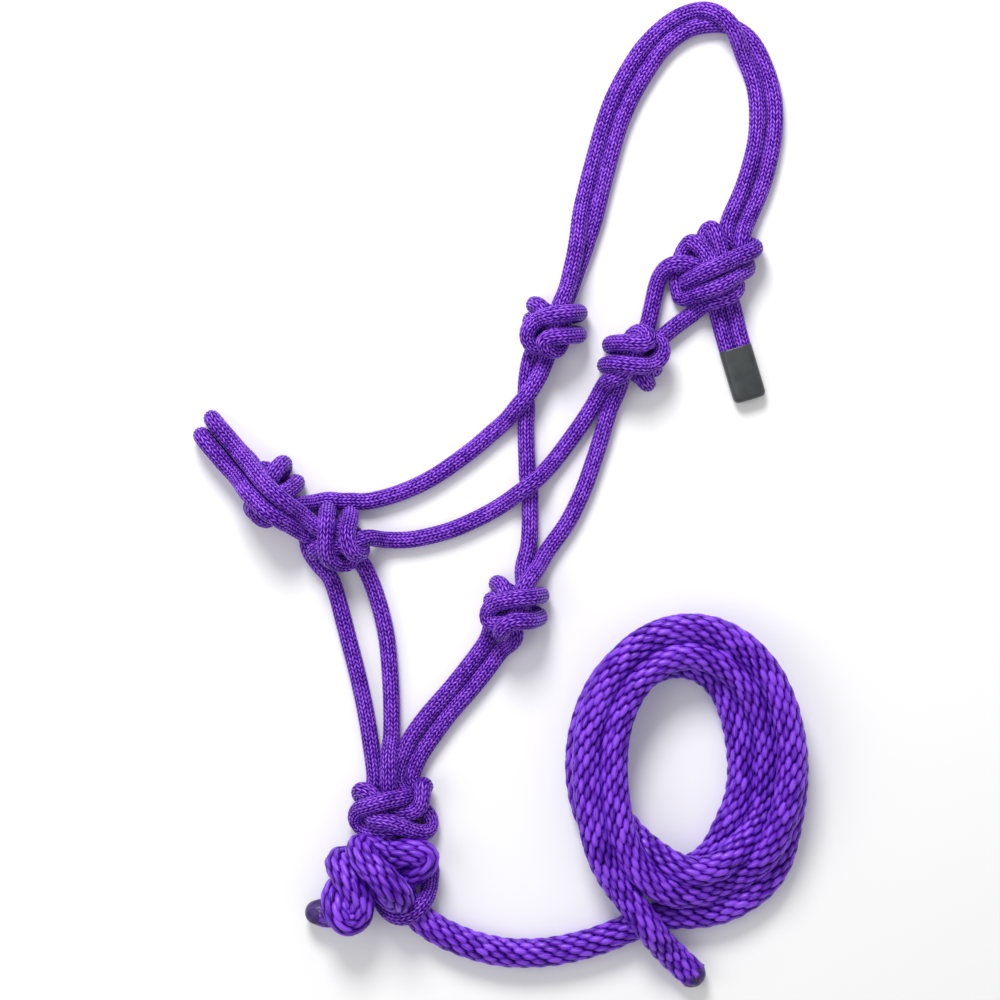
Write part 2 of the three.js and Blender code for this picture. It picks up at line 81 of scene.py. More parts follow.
CROWN_CORD_INNER = [
    (0.0460, 0.0995, 0.0060), (0.0485, 0.1090, 0.0060), (0.0540, 0.1250, 0.0050),
    (0.0590, 0.1430, 0.0048), (0.0640, 0.1615, 0.0048), (0.0695, 0.1785, 0.0048),
    (0.0745, 0.1960, 0.0048), (0.0815, 0.2130, 0.0048), (0.0905, 0.2290, 0.0048),
    (0.1030, 0.2465, 0.0048), (0.1155, 0.2560, 0.0048), (0.1285, 0.2592, 0.0048),
    (0.1412, 0.2560, 0.0048), (0.1510, 0.2472, 0.0048), (0.1585, 0.2350, 0.0048),
    (0.1635, 0.2225, 0.0048), (0.1655, 0.2085, 0.0048), (0.1650, 0.1930, 0.0048),
    (0.1620, 0.1775, 0.0050), (0.1575, 0.1615, 0.0065), (0.1510, 0.1470, 0.0090),
]
# The eye that the crown is tied to, above the near cheek knot.
TIE_CORD_LEFT = [
    (0.0920, 0.0820, 0.0080), (0.0935, 0.0905, 0.0074), (0.0955, 0.0990, 0.0070),
    (0.0980, 0.1105, 0.0070), (0.1035, 0.1170, 0.0080), (0.1115, 0.1195, 0.0100),
]
TIE_CORD_RIGHT = [
    (0.1020, 0.0780, 0.0070), (0.1080, 0.0835, 0.0060), (0.1155, 0.0885, 0.0060),
    (0.1220, 0.0935, 0.0070),
]
# The two tails of the crown, from inside their sleeve up to the tie knot.
CROWN_TAIL_LEFT = [
    (0.1403, 0.0640, 0.0052), (0.1380, 0.0705, 0.0051), (0.1345, 0.0820, 0.0049),
    (0.1315, 0.0930, 0.0056),
]
CROWN_TAIL_RIGHT = [
    (0.1482, 0.0663, 0.0052), (0.1460, 0.0730, 0.0051), (0.1435, 0.0840, 0.0049),
    (0.1415, 0.0940, 0.0056),
]
# Cheeks and throat.
OFF_CHEEK_CORD = [
    (0.0335, 0.0670, 0.0145), (0.0295, 0.0575, 0.0148), (0.0255, 0.0485, 0.0150),
    (0.0200, 0.0395, 0.0146), (0.0125, 0.0305, 0.0120), (0.0030, 0.0225, 0.0080),
    (-0.0065, 0.0140, 0.0052), (-0.0170, 0.0060, 0.0048), (-0.0325, -0.0045, 0.0048),
    (-0.0480, -0.0120, 0.0048), (-0.0660, -0.0175, 0.0048), (-0.0855, -0.0200, 0.0048),
    (-0.1015, -0.0190, 0.0055),
]
OFF_THROAT_CORD = [
    (0.0255, 0.0670, 0.0065), (0.0240, 0.0590, 0.0050), (0.0220, 0.0470, 0.0048),
    (0.0210, 0.0355, 0.0048), (0.0215, 0.0230, 0.0048), (0.0220, 0.0060, 0.0048),
    (0.0235, -0.0115, 0.0048), (0.0240, -0.0290, 0.0048), (0.0230, -0.0460, 0.0048),
    (0.0195, -0.0590, 0.0055),
]
NEAR_CHEEK_CORD = [
    (0.0700, 0.0545, 0.0152), (0.0655, 0.0455, 0.0140), (0.0595, 0.0355, 0.0120),
    (0.0525, 0.0250, 0.0090), (0.0445, 0.0140, 0.0082), (0.0365, 0.0035, 0.0110),
    (0.0285, -0.0045, 0.0144), (0.0210, -0.0110, 0.0150), (0.0110, -0.0180, 0.0130),
    (0.0015, -0.0240, 0.0090), (-0.0095, -0.0295, 0.0058), (-0.0210, -0.0345, 0.0048),
    (-0.0335, -0.0380, 0.0055), (-0.0465, -0.0405, 0.0085), (-0.0580, -0.0405, 0.0130),
    (-0.0675, -0.0405, 0.0155),
]
NEAR_THROAT_CORD = [
    (0.0770, 0.0505, 0.0052), (0.0715, 0.0405, 0.0048), (0.0675, 0.0270, 0.0048),
    (0.0640, 0.0150, 0.0048), (0.0600, 0.0030, 0.0048), (0.0555, -0.0100, 0.0048),
    (0.0510, -0.0200, 0.0048), (0.0460, -0.0300, 0.0048), (0.0400, -0.0385, 0.0055),
    (0.0335, -0.0470, 0.0080), (0.0285, -0.0560, 0.0110),
]
# Jaw and chin.
JAW_CORD_LEFT = [
    (0.0050, -0.0910, 0.0060), (-0.0005, -0.0980, 0.0048), (-0.0060, -0.1060, 0.0048),
    (-0.0130, -0.1150, 0.0048), (-0.0205, -0.1245, 0.0048), (-0.0280, -0.1330, 0.0048),
    (-0.0355, -0.1415, 0.0048), (-0.0425, -0.1510, 0.0048), (-0.0485, -0.1600, 0.0048),
    (-0.0525, -0.1695, 0.0048), (-0.0545, -0.1785, 0.0052),
]
JAW_CORD_RIGHT = [
    (0.0155, -0.0915, 0.0125), (0.0105, -0.0990, 0.0094), (0.0055, -0.1065, 0.0066),
    (-0.0005, -0.1150, 0.0050), (-0.0080, -0.1245, 0.0050), (-0.0155, -0.1330, 0.0050),
    (-0.0230, -0.1415, 0.0052), (-0.0295, -0.1505, 0.0064), (-0.0360, -0.1595, 0.0096),
    (-0.0420, -0.1690, 0.0128), (-0.0450, -0.1770, 0.0144),
]
NEAR_CHIN_CORD = [
    (-0.0730, -0.0535, 0.0150), (-0.0690, -0.0615, 0.0105), (-0.0650, -0.0720, 0.0060),
    (-0.0620, -0.0820, 0.0048), (-0.0590, -0.0955, 0.0048), (-0.0575, -0.1095, 0.0048),
    (-0.0565, -0.1240, 0.0048), (-0.0560, -0.1380, 0.0060), (-0.0560, -0.1515, 0.0100),
    (-0.0560, -0.1615, 0.0138), (-0.0565, -0.1715, 0.0150), (-0.0565, -0.1820, 0.0155),
]
OFF_CHIN_CORD = [
    (-0.1110, -0.0265, 0.0050), (-0.1050, -0.0345, 0.0048), (-0.1000, -0.0440, 0.0048),
    (-0.0955, -0.0530, 0.0048), (-0.0905, -0.0635, 0.0048), (-0.0855, -0.0805, 0.0048),
    (-0.0810, -0.0980, 0.0048), (-0.0765, -0.1150, 0.0048), (-0.0725, -0.1325, 0.0048),
    (-0.0695, -0.1485, 0.0050), (-0.0675, -0.1625, 0.0065), (-0.0660, -0.1730, 0.0080),
    (-0.0655, -0.1820, 0.0085),
]
# Noseband: two cords side by side, each doubled back under itself.
NOSEBAND_CORD_UPPER = [
    (-0.0990, -0.0322, 0.0205), (-0.1045, -0.0286, 0.0256), (-0.1110, -0.0235, 0.0290),
    (-0.1180, -0.0175, 0.0300), (-0.1255, -0.0100, 0.0284), (-0.1315, -0.0030, 0.0260),
    (-0.1370, 0.0035, 0.0240), (-0.1410, 0.0080, 0.0224), (-0.1455, 0.0130, 0.0210),
    (-0.1525, 0.0215, 0.0193), (-0.1560, 0.0250, 0.0184), (-0.1595, 0.0298, 0.0160),
    (-0.1608, 0.0312, 0.0116), (-0.1595, 0.0298, 0.0072), (-0.1560, 0.0250, 0.0048),
    (-0.1525, 0.0215, 0.0048), (-0.1455, 0.0130, 0.0048), (-0.1410, 0.0080, 0.0048),
    (-0.1370, 0.0035, 0.0050),
]
NOSEBAND_CORD_LOWER = [
    (-0.1015, -0.0402, 0.0165), (-0.1072, -0.0354, 0.0200), (-0.1140, -0.0305, 0.0232),
    (-0.1210, -0.0260, 0.0243), (-0.1295, -0.0200, 0.0240), (-0.1375, -0.0120, 0.0230),
    (-0.1450, -0.0035, 0.0212), (-0.1485, 0.0000, 0.0204), (-0.1520, 0.0035, 0.0198),
    (-0.1585, 0.0115, 0.0188), (-0.1624, 0.0160, 0.0182), (-0.1656, 0.0200, 0.0160),
    (-0.1669, 0.0214, 0.0116), (-0.1656, 0.0200, 0.0072), (-0.1624, 0.0160, 0.0048),
    (-0.1585, 0.0115, 0.0048), (-0.1520, 0.0035, 0.0048), (-0.1485, 0.0000, 0.0048),
    (-0.1450, -0.0035, 0.0050),
]
# Crown tie knot: each tail comes up under the wraps, over the top, round behind, across the front
# as a wrap, and back behind into the crown.
TIE_KNOT_OUTER = [
    (0.1305, 0.1010, 0.0085), (0.1305, 0.1080, 0.0120), (0.1325, 0.1145, 0.0160),
    (0.1345, 0.1210, 0.0200), (0.1335, 0.1285, 0.0230), (0.1312, 0.1355, 0.0225),
    (0.1292, 0.1402, 0.0180), (0.1270, 0.1400, 0.0120), (0.1250, 0.1345, 0.0072),
    (0.1225, 0.1265, 0.0052), (0.1185, 0.1180, 0.0050), (0.1145, 0.1110, 0.0065),
    (0.1122, 0.1075, 0.0112), (0.1138, 0.1078, 0.0178), (0.1190, 0.1105, 0.0228),
    (0.1270, 0.1142, 0.0252), (0.1365, 0.1190, 0.0252), (0.1450, 0.1235, 0.0228),
    (0.1512, 0.1272, 0.0185), (0.1540, 0.1292, 0.0125), (0.1512, 0.1296, 0.0070),
    (0.1450, 0.1292, 0.0050), (0.1378, 0.1315, 0.0065), (0.1365, 0.1380, 0.0100),
]
TIE_KNOT_INNER = [
    (0.1395, 0.0990, 0.0060), (0.1365, 0.1035, 0.0095), (0.1320, 0.1092, 0.0130),
    (0.1282, 0.1150, 0.0165), (0.1250, 0.1218, 0.0198), (0.1215, 0.1290, 0.0198),
    (0.1190, 0.1322, 0.0145), (0.1166, 0.1300, 0.0085), (0.1155, 0.1225, 0.0050),
    (0.1138, 0.1140, 0.0048), (0.1110, 0.1062, 0.0056), (0.1098, 0.1005, 0.0098),
    (0.1115, 0.0985, 0.0155), (0.1170, 0.0995, 0.0208), (0.1260, 0.1032, 0.0240),
    (0.1360, 0.1076, 0.0240), (0.1442, 0.1116, 0.0205), (0.1492, 0.1148, 0.0150),
    (0.1502, 0.1185, 0.0092), (0.1480, 0.1225, 0.0054), (0.1455, 0.1275, 0.0055),
    (0.1460, 0.1340, 0.0080),
]
# The bight of the eye, inside the wraps.
TIE_KNOT_BIGHT = [
    (0.1190, 0.1165, 0.0115), (0.1270, 0.1135, 0.0125), (0.1350, 0.1120, 0.0130),
    (0.1415, 0.1090, 0.0130), (0.1425, 0.1045, 0.0125), (0.1375, 0.1020, 0.0120),
    (0.1300, 0.1000, 0.0110), (0.1240, 0.0965, 0.0090),
]
# Fiador knot: the two jaw cords wrap round the two chin cords, which go on as the loop.
FIADOR_LEFT_JAW = [
    (-0.0530, -0.1850, 0.0052), (-0.0490, -0.1895, 0.0060), (-0.0450, -0.1888, 0.0100),
    (-0.0462, -0.1872, 0.0165), (-0.0520, -0.1876, 0.0212), (-0.0600, -0.1895, 0.0235),
    (-0.0698, -0.1932, 0.0222), (-0.0758, -0.1985, 0.0190), (-0.0755, -0.2048, 0.0165),
    (-0.0695, -0.2080, 0.0160), (-0.0620, -0.2066, 0.0148), (-0.0562, -0.2050, 0.0100),
    (-0.0500, -0.2062, 0.0060),
]
FIADOR_RIGHT_JAW = [
    (-0.0470, -0.1845, 0.0105), (-0.0445, -0.1878, 0.0068), (-0.0402, -0.1862, 0.0062),
    (-0.0378, -0.1820, 0.0100), (-0.0392, -0.1802, 0.0158), (-0.0378, -0.1838, 0.0212),
    (-0.0372, -0.1890, 0.0240), (-0.0398, -0.1945, 0.0240), (-0.0455, -0.1975, 0.0205),
    (-0.0525, -0.1975, 0.0140), (-0.0600, -0.1970, 0.0095), (-0.0660, -0.1990, 0.0102),
    (-0.0645, -0.2005, 0.0155), (-0.0580, -0.1995, 0.0202), (-0.0500, -0.2038, 0.0235),
    (-0.0420, -0.2092, 0.0210), (-0.0355, -0.2092, 0.0150), (-0.0325, -0.2038, 0.0100),
    (-0.0355, -0.1975, 0.0060), (-0.0440, -0.1940, 0.0050),
]
FIADOR_NEAR_CHIN = [
    (-0.0555, -0.1890, 0.0140), (-0.0535, -0.1960, 0.0130), (-0.0500, -0.2030, 0.0105),
    (-0.0450, -0.2100, 0.0080),
]
# The loop under the chin that the lead is tied to.
FIADOR_LOOP = [
    (-0.0400, -0.2175, 0.0060), (-0.0365, -0.2260, 0.0055), (-0.0340, -0.2350, 0.0085),
    (-0.0345, -0.2440, 0.0170), (-0.0395, -0.2515, 0.0220), (-0.0475, -0.2565, 0.0230),
    (-0.0560, -0.2545, 0.0215), (-0.0620, -0.2475, 0.0160), (-0.0650, -0.2380, 0.0090),
    (-0.0650, -0.2280, 0.0060), (-0.0635, -0.2180, 0.0060),
]
FIADOR_OFF_CHIN = [
    (-0.0610, -0.2090, 0.0075), (-0.0595, -0.2005, 0.0105), (-0.0615, -0.1930, 0.0140),
    (-0.0660, -0.1875, 0.0170), (-0.0710, -0.1835, 0.0165), (-0.0750, -0.1850, 0.0120),
    (-0.0745, -0.1900, 0.0080), (-0.0690, -0.1895, 0.0065),
]
# Lead knot, from the cut end round the fiador loop and out to the run.
LEAD_KNOT = [
    (-0.0970, -0.2552, 0.0085), (-0.0896, -0.2536, 0.0083), (-0.0805, -0.2508, 0.0081),
    (-0.0738, -0.2445, 0.0081), (-0.0750, -0.2372, 0.0085), (-0.0820, -0.2365, 0.0108),
    (-0.0868, -0.2425, 0.0160), (-0.0872, -0.2505, 0.0215), (-0.0848, -0.2580, 0.0238),
    (-0.0790, -0.2612, 0.0240), (-0.0735, -0.2575, 0.0250), (-0.0722, -0.2495, 0.0265),
    (-0.0762, -0.2405, 0.0270), (-0.0818, -0.2335, 0.0255), (-0.0866, -0.2282, 0.0205),
    (-0.0880, -0.2245, 0.0145), (-0.0845, -0.2238, 0.0095), (-0.0770, -0.2270, 0.0083),
    (-0.0680, -0.2330, 0.0100), (-0.0585, -0.2400, 0.0140), (-0.0510, -0.2470, 0.0190),
    (-0.0478, -0.2478, 0.0250), (-0.0510, -0.2425, 0.0295), (-0.0572, -0.2350, 0.0320),
    (-0.0650, -0.2260, 0.0310), (-0.0720, -0.2190, 0.0265), (-0.0758, -0.2150, 0.0200),
    (-0.0730, -0.2148, 0.0130), (-0.0650, -0.2190, 0.0110), (-0.0540, -0.2225, 0.0150),
    (-0.0440, -0.2222, 0.0195), (-0.0360, -0.2205, 0.0190), (-0.0325, -0.2205, 0.0135),
    (-0.0360, -0.2245, 0.0090), (-0.0435, -0.2310, 0.0081), (-0.0510, -0.2360, 0.0081),
    (-0.0580, -0.2400, 0.0081),
]
# Lead rope: its run to the coil, and its free end over the run.
LEAD_RUN = [
    (-0.0545, -0.2485, 0.0081), (-0.0440, -0.2575, 0.0081), (-0.0360, -0.2625, 0.0081),
    (-0.0280, -0.2675, 0.0081), (-0.0165, -0.2725, 0.0081), (-0.0050, -0.2765, 0.0081),
    (0.0065, -0.2790, 0.0081), (0.0180, -0.2800, 0.0081), (0.0295, -0.2795, 0.0081),
    (0.0410, -0.2775, 0.0081), (0.0525, -0.2755, 0.0081), (0.0640, -0.2720, 0.0081),
    (0.0745, -0.2680, 0.0081), (0.0850, -0.2630, 0.0081), (0.0960, -0.2575, 0.0081),
]
LEAD_TAIL = [
    (0.0680, -0.2225, 0.0248), (0.0730, -0.2325, 0.0248), (0.0805, -0.2435, 0.0248),
    (0.0880, -0.2555, 0.0248), (0.0960, -0.2685, 0.0225), (0.1040, -0.2785, 0.0165),
    (0.1125, -0.2865, 0.0100), (0.1190, -0.2918, 0.0081),
]

# The doubled overhand knot that ties two cords together, in cord diameters about its centre: the
# cords come in at the top, run down inside it, turn up round the left end, cross the front as a
# wrap, go back behind, and run down inside it again. Each cord is (above, wrapped, below).
OVERHAND_OVER = (
    [(0.55, 1.20, 1.75), (0.35, 0.45, 1.80)],
    [(0.15, -0.35, 1.75), (-0.40, -1.05, 1.60), (-1.15, -1.15, 1.70), (-1.60, -0.65, 1.95),
     (-1.50, 0.10, 2.35), (-0.95, 0.52, 2.70), (0.00, 0.66, 2.85), (0.90, 0.78, 2.65),
     (1.55, 0.85, 2.10), (1.75, 0.80, 1.30), (1.35, 0.75, 0.60), (0.50, 0.75, 0.50),
     (-0.45, 0.90, 0.55), (-1.15, 1.25, 0.95), (-1.15, 1.50, 1.70), (-0.65, 1.20, 2.05),
     (-0.45, 0.50, 1.90)],
    [(-0.40, -0.30, 1.75), (-0.30, -0.95, 1.60)],
)
OVERHAND_UNDER = (
    [(0.65, 1.20, 0.80), (0.45, 0.40, 0.95)],
    [(0.35, -0.40, 1.05), (0.08, -1.00, 1.15), (-0.52, -1.15, 1.62), (-0.80, -0.88, 2.25),
     (-0.35, -0.60, 2.70), (0.50, -0.56, 2.80), (1.20, -0.56, 2.40), (1.60, -0.50, 1.60),
     (1.45, -0.42, 0.75), (0.70, -0.35, 0.50), (-0.25, -0.25, 0.50), (-1.05, 0.05, 0.60),
     (-1.45, 0.55, 0.95), (-1.15, 0.90, 1.35), (-0.65, 0.55, 1.20)],
    [(-0.55, -0.25, 1.00), (-0.85, -0.90, 0.85)],
)

# Where each overhand knot is, how far it is turned from the one drawn above, in degrees, and how
# far it is pressed flat. The folded noseband lies on top of the off nose knot.
OFF_CHEEK_KNOT = ((0.0372, 0.0818), 4, 1.0)
NEAR_CHEEK_KNOT = ((0.0840, 0.0655), 172, 1.0)
THROAT_KNOT = ((0.0147, -0.0800), 0, 1.0)
NEAR_NOSE_KNOT = ((-0.0862, -0.0386), 84, 1.0)
OFF_NOSE_KNOT = ((-0.1238, -0.0140), 46, 0.75)

# The lead's coil, turn by turn: the middle of the turn, its half width and half length, and its
# height. Turns 1 and 2 lie on the floor, 3 and 4 on top of them.
COIL_TURNS = [
    (0.1155, -0.1740, 0.0594, 0.0785, 0.0081),
    (0.1090, -0.1695, 0.0448, 0.0660, 0.0081),
    (0.1140, -0.1690, 0.0470, 0.0665, 0.0240),
    (0.1155, -0.1680, 0.0594, 0.0753, 0.0240),
]
COIL_START = -97                # degrees from +X, anticlockwise
COIL_END = 198                  # of the last turn
COIL_STEP = 12
COIL_FULLNESS = 0.90            # below 1, a turn's ends are rounder than an ellipse's
COIL_PASSING = 0.2              # last share of a turn, over which it passes into the next


# ---- routes ----

def overhand(knot, cord):
    """One cord of an overhand knot, as (above, wrapped, below), in metres."""
    (x, y), turn, pressed = knot
    cosine, sine = math.cos(math.radians(turn)), math.sin(math.radians(turn))
    return [
        [
            (
                x + CORD_DIAMETER * (across * cosine - along * sine),
                y + CORD_DIAMETER * (across * sine + along * cosine),
                CORD_DIAMETER * (0.5 + (height - 0.5) * pressed),
            )
            for across, along, height in part
        ]
        for part in cord
    ]


def both_cords(knot):
    """The two cords of an overhand knot, the one that lies over and the one that lies under."""
    return overhand(knot, OVERHAND_OVER), overhand(knot, OVERHAND_UNDER)


def back(points):
    """The same points, from the last to the first."""
    return points[::-1]


def coil_route():
    """The turns of the coil, each passing into the next over its last few points."""
    route = []
    end = COIL_END + 360 * (len(COIL_TURNS) - 1)
    for angle in range(COIL_START, end + 1, COIL_STEP):
        turns = (angle - COIL_START) / 360
        this = min(int(turns), len(COIL_TURNS) - 1)
        following = min(this + 1, len(COIL_TURNS) - 1)
        share = max(0.0, (turns - this - (1 - COIL_PASSING)) / COIL_PASSING)
        share = share * share * (3 - 2 * share)
        x, y, half_width, half_length, height = (
            a + (b - a) * share for a, b in zip(COIL_TURNS[this], COIL_TURNS[following])
        )
        radians = math.radians(angle)
        across = math.copysign(abs(math.cos(radians)) ** COIL_FULLNESS, math.cos(radians))
        route.append((x + half_width * across, y + half_length * math.sin(radians), height))
    return route


def halter_strands():
    """The halter's cord as three long strands, each a list of (piece, its drawn points)."""
    off_over, off_under = both_cords(OFF_CHEEK_KNOT)
    near_over, near_under = both_cords(NEAR_CHEEK_KNOT)
    throat_over, throat_under = both_cords(THROAT_KNOT)
    nose_over, nose_under = both_cords(NEAR_NOSE_KNOT)
    off_nose_over, off_nose_under = both_cords(OFF_NOSE_KNOT)
    over_the_poll = [
        ("crown_tail_left", CROWN_TAIL_LEFT),
        ("crown_tie_knot", TIE_KNOT_OUTER),
        ("crown_cord_outer", back(CROWN_CORD_OUTER) + off_over[0]),
        ("off_cheek_knot", off_over[1]),
        ("off_cheek_cord", off_over[2] + OFF_CHEEK_CORD + back(off_nose_over[2])),
        ("off_nose_knot", back(off_nose_over[1])),
        ("noseband_cord_upper", back(off_nose_over[0]) + back(NOSEBAND_CORD_UPPER) + nose_over[0]),
        ("near_nose_knot", nose_over[1]),
        ("near_cheek_cord", nose_over[2] + back(NEAR_CHEEK_CORD) + near_over[0]),
        ("near_cheek_knot", near_over[1]),
        ("tie_cord_left", near_over[2] + TIE_CORD_LEFT),
        ("crown_tie_knot", TIE_KNOT_BIGHT),
        ("tie_cord_right", back(TIE_CORD_RIGHT) + back(near_under[2])),
        ("near_cheek_knot", back(near_under[1])),
        ("near_throat_cord", back(near_under[0]) + NEAR_THROAT_CORD + throat_over[0]),
        ("throat_knot", throat_over[1]),
        ("jaw_cord_right", throat_over[2] + JAW_CORD_RIGHT),
        ("fiador_knot", FIADOR_RIGHT_JAW),
    ]
    under_the_jaw = [
        ("crown_tail_right", CROWN_TAIL_RIGHT),
        ("crown_tie_knot", TIE_KNOT_INNER),
        ("crown_cord_inner", back(CROWN_CORD_INNER) + off_under[0]),
        ("off_cheek_knot", off_under[1]),
        ("off_throat_cord", off_under[2] + OFF_THROAT_CORD + throat_under[0]),
        ("throat_knot", throat_under[1]),
        ("jaw_cord_left", throat_under[2] + JAW_CORD_LEFT),
        ("fiador_knot", FIADOR_LEFT_JAW),
    ]
    round_the_nose = [
        ("noseband_cord_lower", back(off_nose_under[0]) + back(NOSEBAND_CORD_LOWER) + nose_under[0]),
        ("near_nose_knot", nose_under[1]),
        ("near_chin_cord", nose_under[2] + NEAR_CHIN_CORD),
        ("fiador_knot", FIADOR_NEAR_CHIN),
        ("fiador_loop", FIADOR_LOOP),
        ("fiador_knot", FIADOR_OFF_CHIN),
        ("off_chin_cord", back(OFF_CHIN_CORD) + back(off_nose_under[2])),
        ("off_nose_knot", back(off_nose_under[1])),
    ]
    return [over_the_poll, under_the_jaw, round_the_nose]


def lead_strand():
    """The lead as one strand: its knot, then its run, its coil and its free end."""
    return [("lead_knot", LEAD_KNOT), ("lead_rope", LEAD_RUN + coil_route() + LEAD_TAIL)]


# ---- curves ----

FINE_STEPS = 16                 # of the curve, between two given points


def curve_through(points, spacing):
    """Even points along a smooth curve through the given ones, and how far along those lie."""
    points = np.asarray(points, float)
    ends = np.vstack([2 * points[0] - points[1], points, 2 * points[-1] - points[-2]])
    gaps = np.sqrt(np.linalg.norm(np.diff(ends, axis=0), axis=1))
    knots = np.concatenate([[0], np.cumsum(gaps)])
    fine = []
    for i in range(1, len(ends) - 2):
        t0, t1, t2, t3 = knots[i - 1:i + 3]
        t = np.linspace(t1, t2, FINE_STEPS, endpoint=False)[:, None]
        p0, p1, p2, p3 = ends[i - 1:i + 3]
        a1 = (t1 - t) / (t1 - t0) * p0 + (t - t0) / (t1 - t0) * p1
        a2 = (t2 - t) / (t2 - t1) * p1 + (t - t1) / (t2 - t1) * p2
        a3 = (t3 - t) / (t3 - t2) * p2 + (t - t2) / (t3 - t2) * p3
        b1 = (t2 - t) / (t2 - t0) * a1 + (t - t0) / (t2 - t0) * a2
        b2 = (t3 - t) / (t3 - t1) * a2 + (t - t1) / (t3 - t1) * a3
        fine.append((t2 - t) / (t2 - t1) * b1 + (t - t1) / (t2 - t1) * b2)
    fine = np.vstack(fine + [points[-1:]])
    along = np.concatenate([[0], np.cumsum(np.linalg.norm(np.diff(fine, axis=0), axis=1))])
    count = max(2, int(round(along[-1] / spacing)) + 1)
    even = np.linspace(0, along[-1], count)
    curve = np.column_stack([np.interp(even, along, fine[:, axis]) for axis in range(3)])
    return curve, along[::FINE_STEPS]


def chain_of(strand, radius, spacing):
    """A strand as one chain of points, with the share of its length at which each piece ends."""
    points = [point for _, part in strand for point in part]
    curve, along = curve_through(points, spacing)
    last = np.cumsum([len(part) for _, part in strand]) - 1
    cuts = [(along[i] + along[i + 1]) / 2 / along[-1] for i in last[:-1]]
    return {
        "points": curve,
        "radius": radius,
        "spacing": along[-1] / (len(curve) - 1),
        "names": [name for name, _ in strand],
        "cuts": [0.0] + cuts + [1.0],
        "hold": np.ones(len(curve)),
    }


# ---- settling ----

SETTLE_ROUNDS = 240
SINK = 0.00012                  # how far a cord sinks in each round, where nothing holds it up
HOLD = (0.10, 0.10, 0.006)      # how far a point goes back to where it was drawn, in each round
FREE_HOLD = 0.2                 # share of that hold along the lead, which lies loose
BEND = 0.35                     # how far a point goes towards the middle of its neighbours
PRESSED = 0.95                  # cords that press on each other are this share of a diameter apart
PAIRS_EVERY = 8                 # rounds between two searches for cords that may touch
PAIRS_MARGIN = 0.004            # cords this much further apart than touching are searched too
NEIGHBOURS = 1.75               # points closer along one cord than this many diameters never push
PUSHES = 3                      # in each round
PUSH = 1.2                      # how far a push goes, as a share of what would part two points


def close_pairs(points, radius, owner, along):
    """Pairs of points whose cords may touch, apart from near neighbours on one cord."""
    squares = (points ** 2).sum(1)
    apart = squares[:, None] + squares[None, :] - 2 * points @ points.T
    reach = radius[:, None] + radius[None, :]
    near = apart < (reach + PAIRS_MARGIN) ** 2
    same_cord = owner[:, None] == owner[None, :]
    neighbours = np.abs(along[:, None] - along[None, :]) < NEIGHBOURS * reach
    return np.nonzero(np.triu(near & ~(same_cord & neighbours), 1))


def settle(chains):
    """Lays the cords down: on the floor, on each other, and close to where they were drawn."""
    points = np.vstack([chain["points"] for chain in chains])
    drawn = points.copy()
    counts = [len(chain["points"]) for chain in chains]
    radius = np.concatenate([np.full(n, chain["radius"]) for n, chain in zip(counts, chains)])
    along = np.concatenate([np.arange(n) * chain["spacing"] for n, chain in zip(counts, chains)])
    owner = np.repeat(np.arange(len(chains)), counts)
    inner = (owner[:-2] == owner[1:-1]) & (owner[2:] == owner[1:-1])
    hold = np.concatenate([chain["hold"] for chain in chains])[:, None] * np.array(HOLD)
    for step in range(SETTLE_ROUNDS):
        points[:, 2] -= SINK
        points += (drawn - points) * hold
        middle = (points[:-2] + points[2:]) / 2 - points[1:-1]
        points[1:-1] += BEND * middle * inner[:, None]
        if step % PAIRS_EVERY == 0:
            first, second = close_pairs(points, radius, owner, along)
            reach = PRESSED * (radius[first] + radius[second])
        for _ in range(PUSHES):
            between = points[second] - points[first]
            length = np.linalg.norm(between, axis=1)
            push = np.maximum(reach - length, 0) / np.maximum(length, 1e-6)
            hit = push > 0
            move = between[hit] * push[hit, None] / 2
            total = np.zeros_like(points)
            share = np.zeros(len(points))
            np.add.at(total, first[hit], -move)
            np.add.at(total, second[hit], move)
            np.add.at(share, first[hit], 1)
            np.add.at(share, second[hit], 1)
            points += total / np.maximum(share, 1)[:, None] * PUSH
            points[:, 2] = np.maximum(points[:, 2], radius)
    start = 0
    for n, chain in zip(counts, chains):
        chain["points"] = points[start:start + n]
        start += n


# ---- braided tubes ----

SMOOTHING = 6                   # rounds that take the kinks out of every settled chain
LEAD_SMOOTHING = 16             # and more of them, on the lead's free length
COMMON_LIFT = 0.62              # of a stitch, at which the surface lies on the cord's own diameter
TWILL_RIDGE = 2.4               # how flat a twill stitch is across its middle, and along it
TWILL_ENDS = 3.2
LEAST_PLUMP = 0.86              # the height of the flattest stitch of a solid braid, of the fullest


def smoothed(points, rounds):
    """Takes the small kinks out of a chain, with its ends kept."""
    points = points.copy()
    for _ in range(rounds):
        points[1:-1] += 0.5 * ((points[:-2] + points[2:]) / 2 - points[1:-1])
    return points


def frames_along(curve):
    """A direction across the curve at each point, carried along it without twist."""
    tangents = np.gradient(curve, axis=0)
    tangents /= np.linalg.norm(tangents, axis=1)[:, None]
    side = np.cross(tangents[0], (0, 0, 1))
    side /= np.linalg.norm(side)
    sides = np.empty_like(curve)
    for i, tangent in enumerate(tangents):
        side = side - tangent * (side @ tangent)
        side = side / np.linalg.norm(side)
        sides[i] = side
    return sides, np.cross(tangents, sides)


def pick(first, second):
    """A number from 0 to 1 that looks random, the same for the same stitch."""
    return np.mod(np.sin(first * 12.9898 + second * 78.233) * 43758.5453, 1.0)


